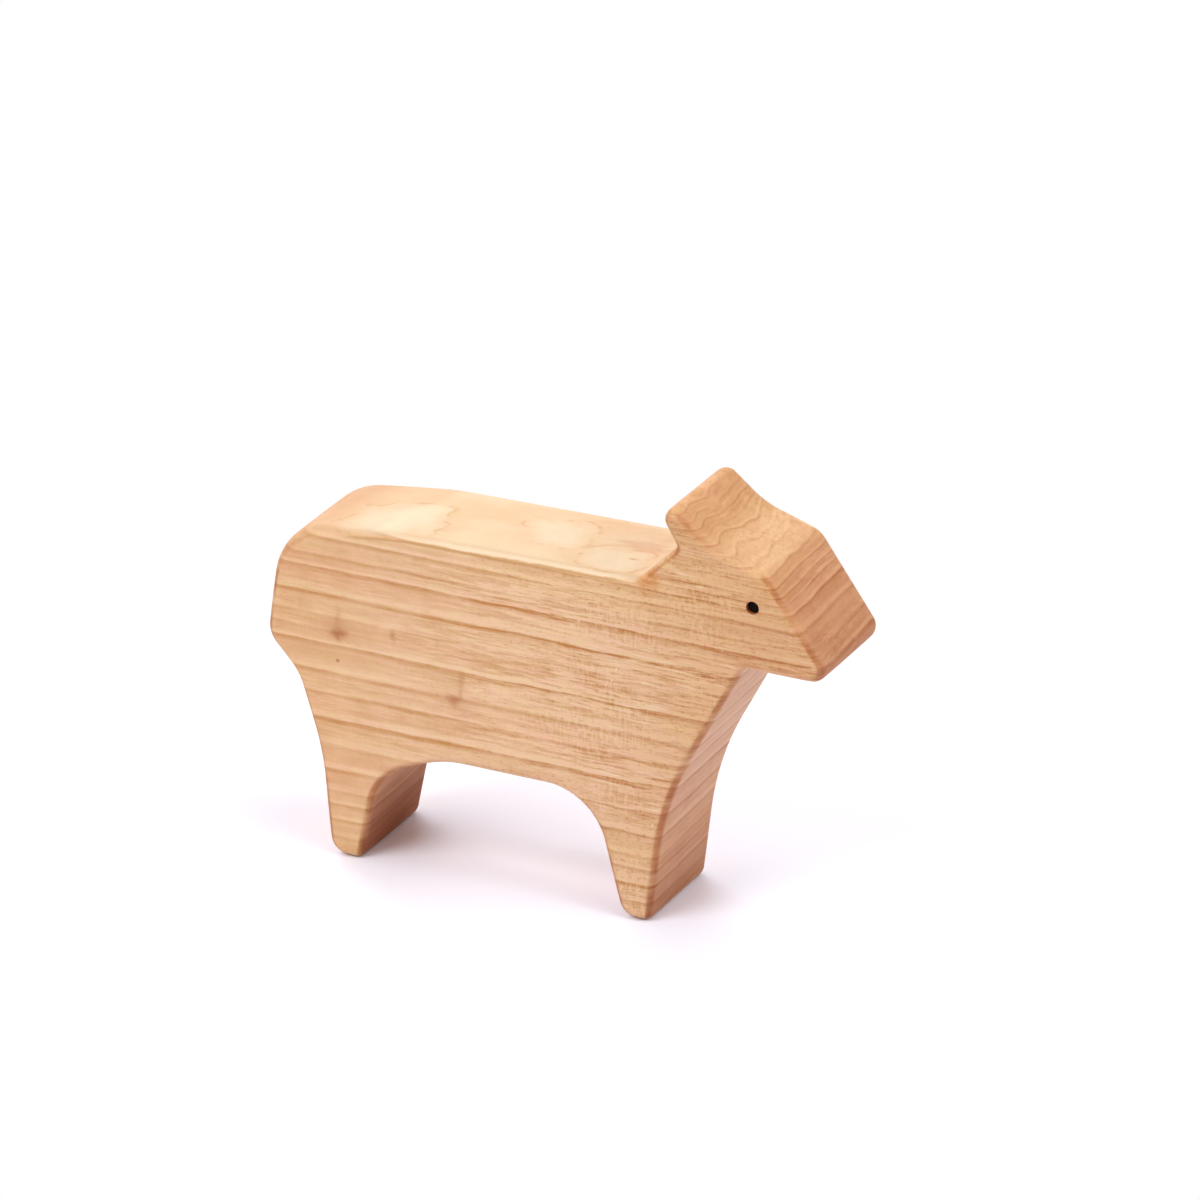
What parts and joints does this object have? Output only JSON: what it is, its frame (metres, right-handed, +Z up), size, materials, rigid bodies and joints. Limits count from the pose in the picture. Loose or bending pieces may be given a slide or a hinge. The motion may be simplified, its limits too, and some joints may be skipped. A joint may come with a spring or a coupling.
{
  "type": "sheep figurine",
  "caption": "Solid wooden sheep figurine sawn from thick board, with sanded edges, slab legs and dark inset eyes, standing free as a toy or shelf ornament.",
  "frame": {"origin": "on the table, midway between rump and muzzle and midway through the board's thickness", "axes": "+X the way the sheep faces, +Y across the board towards the sheep's left side, +Z up"},
  "size_m": [0.116, 0.025, 0.0851],
  "materials": {
    "oiled_wood": "hand-sanded, lightly oiled, satin",
    "dark_eye": "blackened, matt"
  },
  "bodies": {
    "root": {"wooden_body": "oiled_wood", "right_eye": "dark_eye", "left_eye": "dark_eye"}
  },
  "joints": []
}
